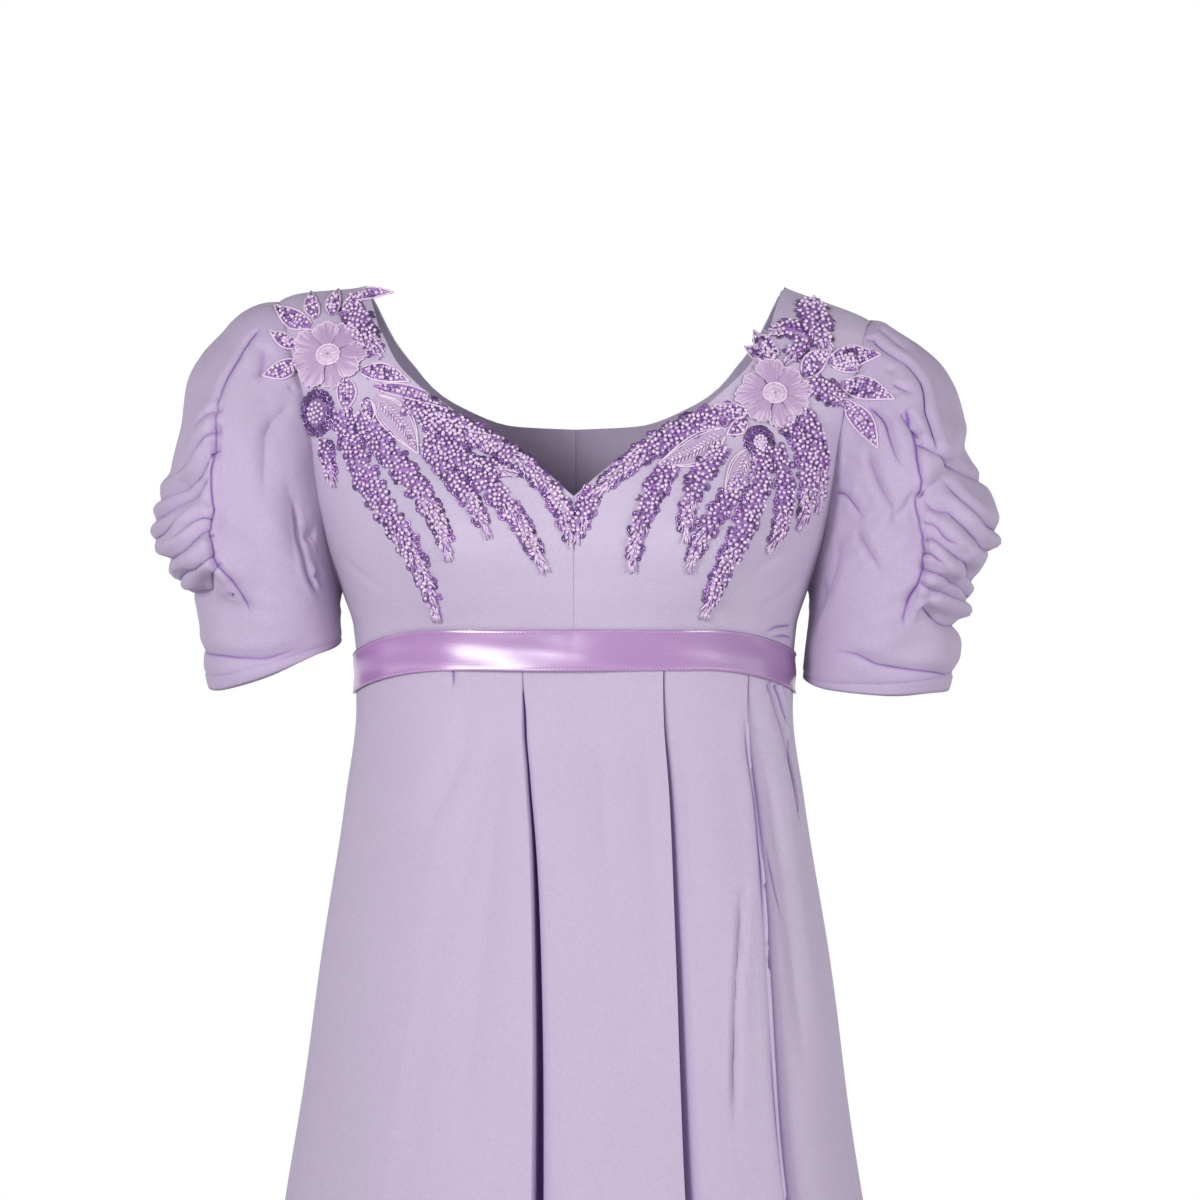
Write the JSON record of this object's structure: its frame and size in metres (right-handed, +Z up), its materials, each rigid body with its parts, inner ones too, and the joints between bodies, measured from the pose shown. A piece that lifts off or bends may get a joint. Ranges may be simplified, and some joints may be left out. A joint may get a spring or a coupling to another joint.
{
  "type": "regency gown",
  "caption": "Floor-length lilac gown with a wide V neck, short gathered puff sleeves, beaded floral motifs on the shoulders, a satin ribbon at the high waist and a softly pleated skirt.",
  "frame": {"origin": "level with the tops of the shoulder straps, above the middle of the waist, where the wearer's shoulders hold the gown up", "axes": "+Z up, -Y the front of the gown, +X the wearer's left"},
  "size_m": [0.5855, 0.526, 1.4206],
  "materials": {
    "crepe": "soft lilac crepe with a faint sheen",
    "ribbon": "orchid satin ribbon",
    "beading": "beads, sequins and embroidery on the crepe"
  },
  "bodies": {
    "root": {"bodice_front_left": "crepe", "bodice_front_right": "crepe", "bodice_back_left": "crepe", "bodice_back_right": "crepe", "sleeve_left": "crepe", "sleeve_right": "crepe", "skirt_front": "crepe", "skirt_back_left": "crepe", "skirt_back_right": "crepe", "waist_ribbon": "ribbon", "applique_left": "beading", "applique_right": "beading"}
  },
  "joints": []
}
